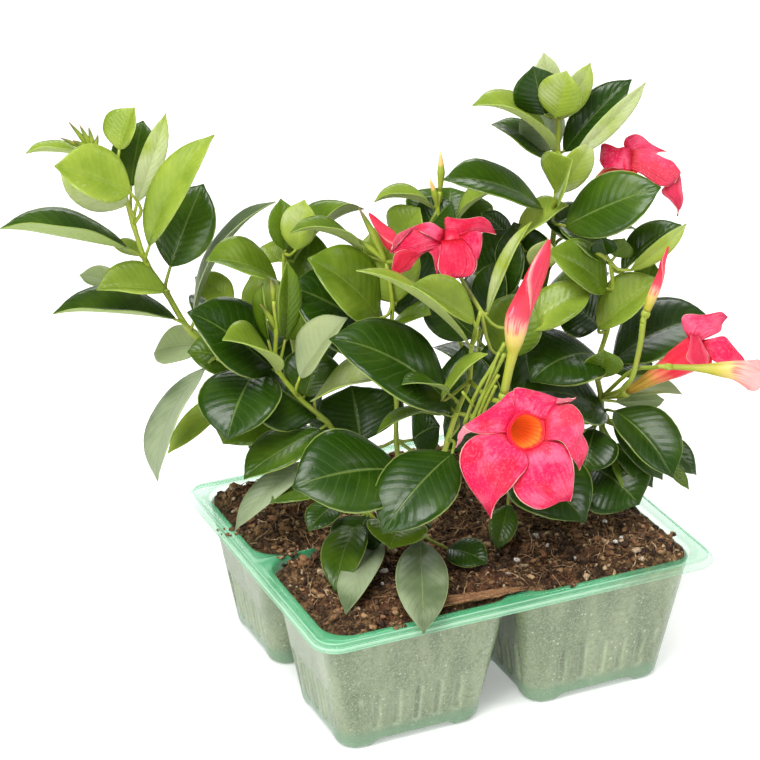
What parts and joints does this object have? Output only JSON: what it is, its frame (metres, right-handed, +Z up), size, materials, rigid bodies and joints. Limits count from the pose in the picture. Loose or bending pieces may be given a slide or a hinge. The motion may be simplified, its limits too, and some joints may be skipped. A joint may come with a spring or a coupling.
{
  "type": "potted mandevilla",
  "caption": "Young mandevilla plants with glossy leaves, pink trumpet flowers and buds, growing in a thin ribbed cell tray filled with potting soil.",
  "frame": {"origin": "under the middle of the whole part's box, on the surface that the tray stands on", "axes": "+Z up, X along the tray's wide side, Y along its narrow side, the front cells at -Y"},
  "size_m": [0.3248, 0.2204, 0.2992],
  "materials": {
    "tray": "clear green sheet, glossy",
    "soil": "loose peat and bark, matt",
    "leaf": "glossy green leaf",
    "petal": "satin pink petal",
    "bud": "satin pink bud"
  },
  "bodies": {
    "root": {"tray": "tray", "soil_front_left": "soil", "soil_front_right": "soil", "soil_back_left": "soil", "soil_back_right": "soil", "vine_front_left": "leaf", "vine_front_right": "leaf", "vine_back_left": "leaf", "vine_back_right": "leaf", "bloom_front": "petal", "bloom_upper_left": "petal", "bloom_upper_right": "petal", "bloom_right": "petal", "bud_front": "bud", "bud_right": "bud", "bud_lying": "bud", "bud_left": "bud"}
  },
  "joints": []
}
